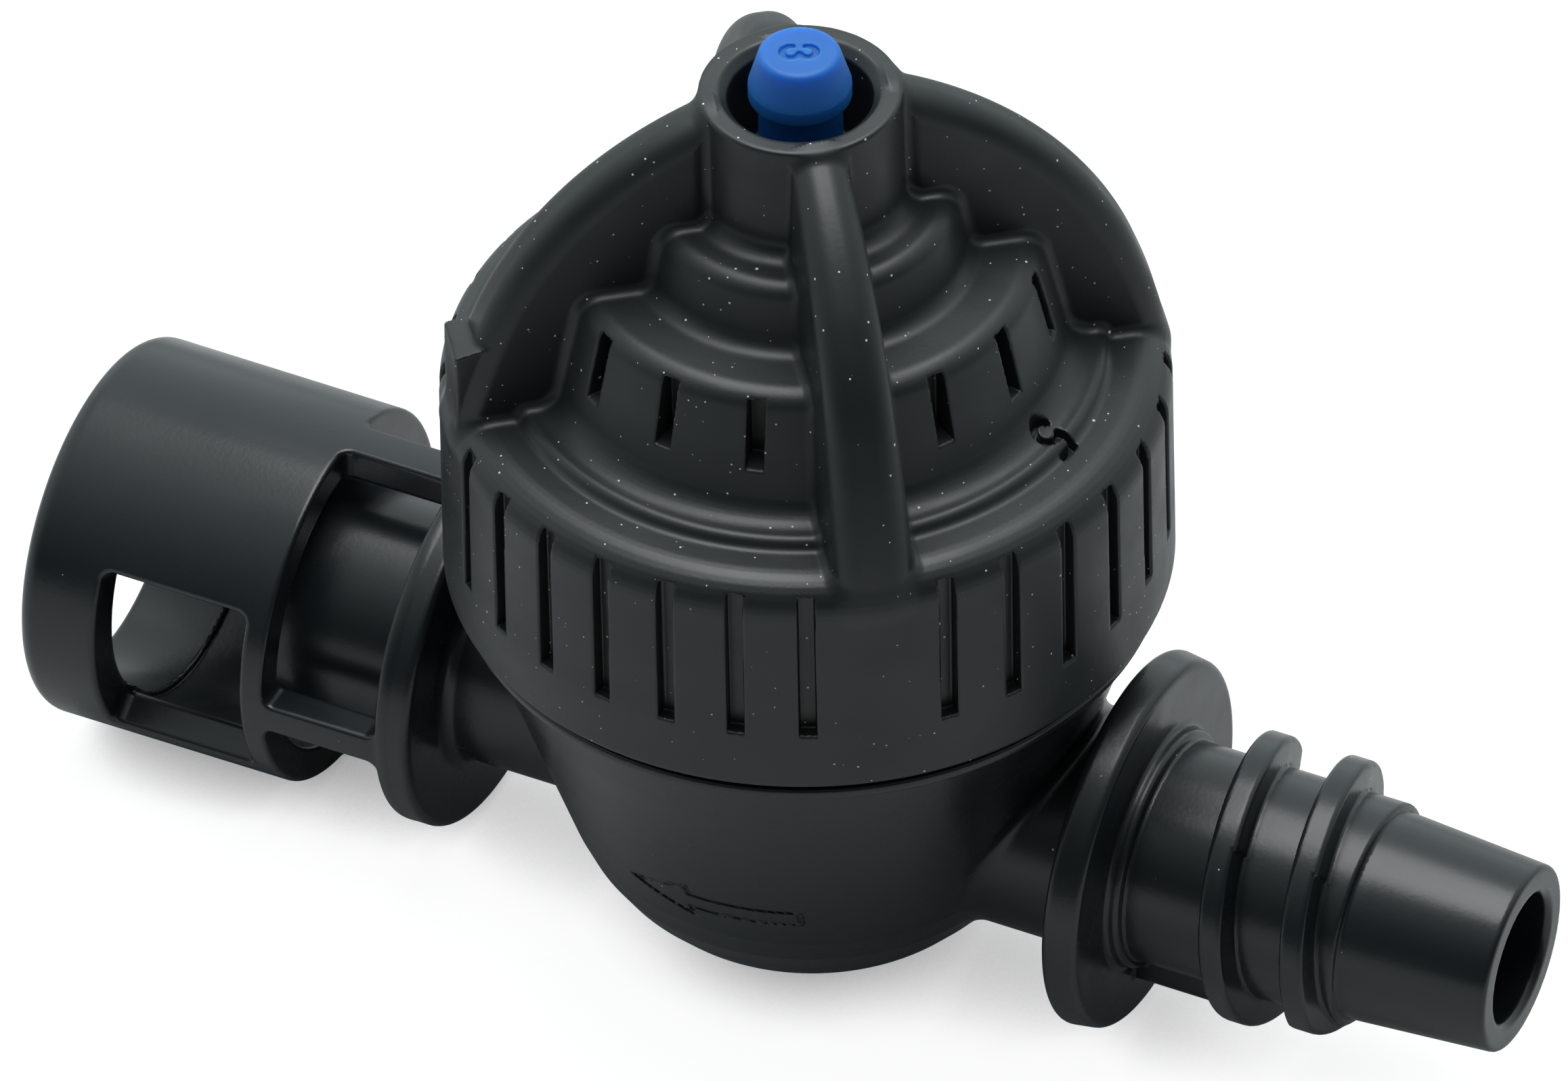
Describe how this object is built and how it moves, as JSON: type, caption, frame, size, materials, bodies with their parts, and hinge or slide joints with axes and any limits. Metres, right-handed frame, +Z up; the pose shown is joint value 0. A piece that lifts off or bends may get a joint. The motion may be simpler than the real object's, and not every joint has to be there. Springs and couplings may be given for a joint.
{
  "type": "in-line diaphragm check valve for drip and micro-sprinkler lines",
  "caption": "In-line anti-drip valve: ribbed screw cap with a rising blue indicator pin, coarse-threaded plug inlet and windowed socket outlet.",
  "frame": {"origin": "centre of the bowl's flat underside, on the screw cap's axis", "axes": "+X along the pipe, out of the inlet plug; -X out of the outlet socket; +Z up along the cap and pin"},
  "size_m": [0.065, 0.03, 0.0454],
  "materials": {
    "body_plastic": "satin moulded, slightly glossy on the pipe ends",
    "cap_plastic": "satin moulded",
    "natural_acetal": "smooth moulded",
    "black_rubber": "smooth moulded rubber",
    "spring_steel": "bright drawn wire",
    "blue_plastic": "semi-gloss moulded, slightly translucent"
  },
  "bodies": {
    "valve_body": {"valve_body": "body_plastic", "seat_ring": "natural_acetal", "diaphragm": "black_rubber", "return_spring": "spring_steel"},
    "slip_ring": {"slip_ring": "natural_acetal"},
    "bonnet_cap": {"bonnet_cap": "cap_plastic"},
    "indicator": {"indicator_pin": "blue_plastic", "diaphragm_clamp": "natural_acetal", "diaphragm_plate": "natural_acetal", "seal_pad": "black_rubber"}
  },
  "joints": [
    {"name": "pin_lift", "type": "slide", "parent": "valve_body", "child": "indicator", "axis": [0, 0, 1], "range_m": [0, 0.0018], "deforming": ["return_spring", "diaphragm"]},
    {"name": "cap_lift", "type": "slide", "parent": "valve_body", "child": "slip_ring", "axis": [0, 0, 1], "range_m": [0, 0.00201]},
    {"name": "cap_turn", "type": "hinge", "parent": "slip_ring", "child": "bonnet_cap", "pos_m": [0, 0, 0.0277], "axis": [0, 0, 1], "range_deg": [0, 360]}
  ],
  "couplings": [
    {"joint": "cap_lift", "follows": "cap_turn", "m_per_rad": 0.00031831}
  ]
}
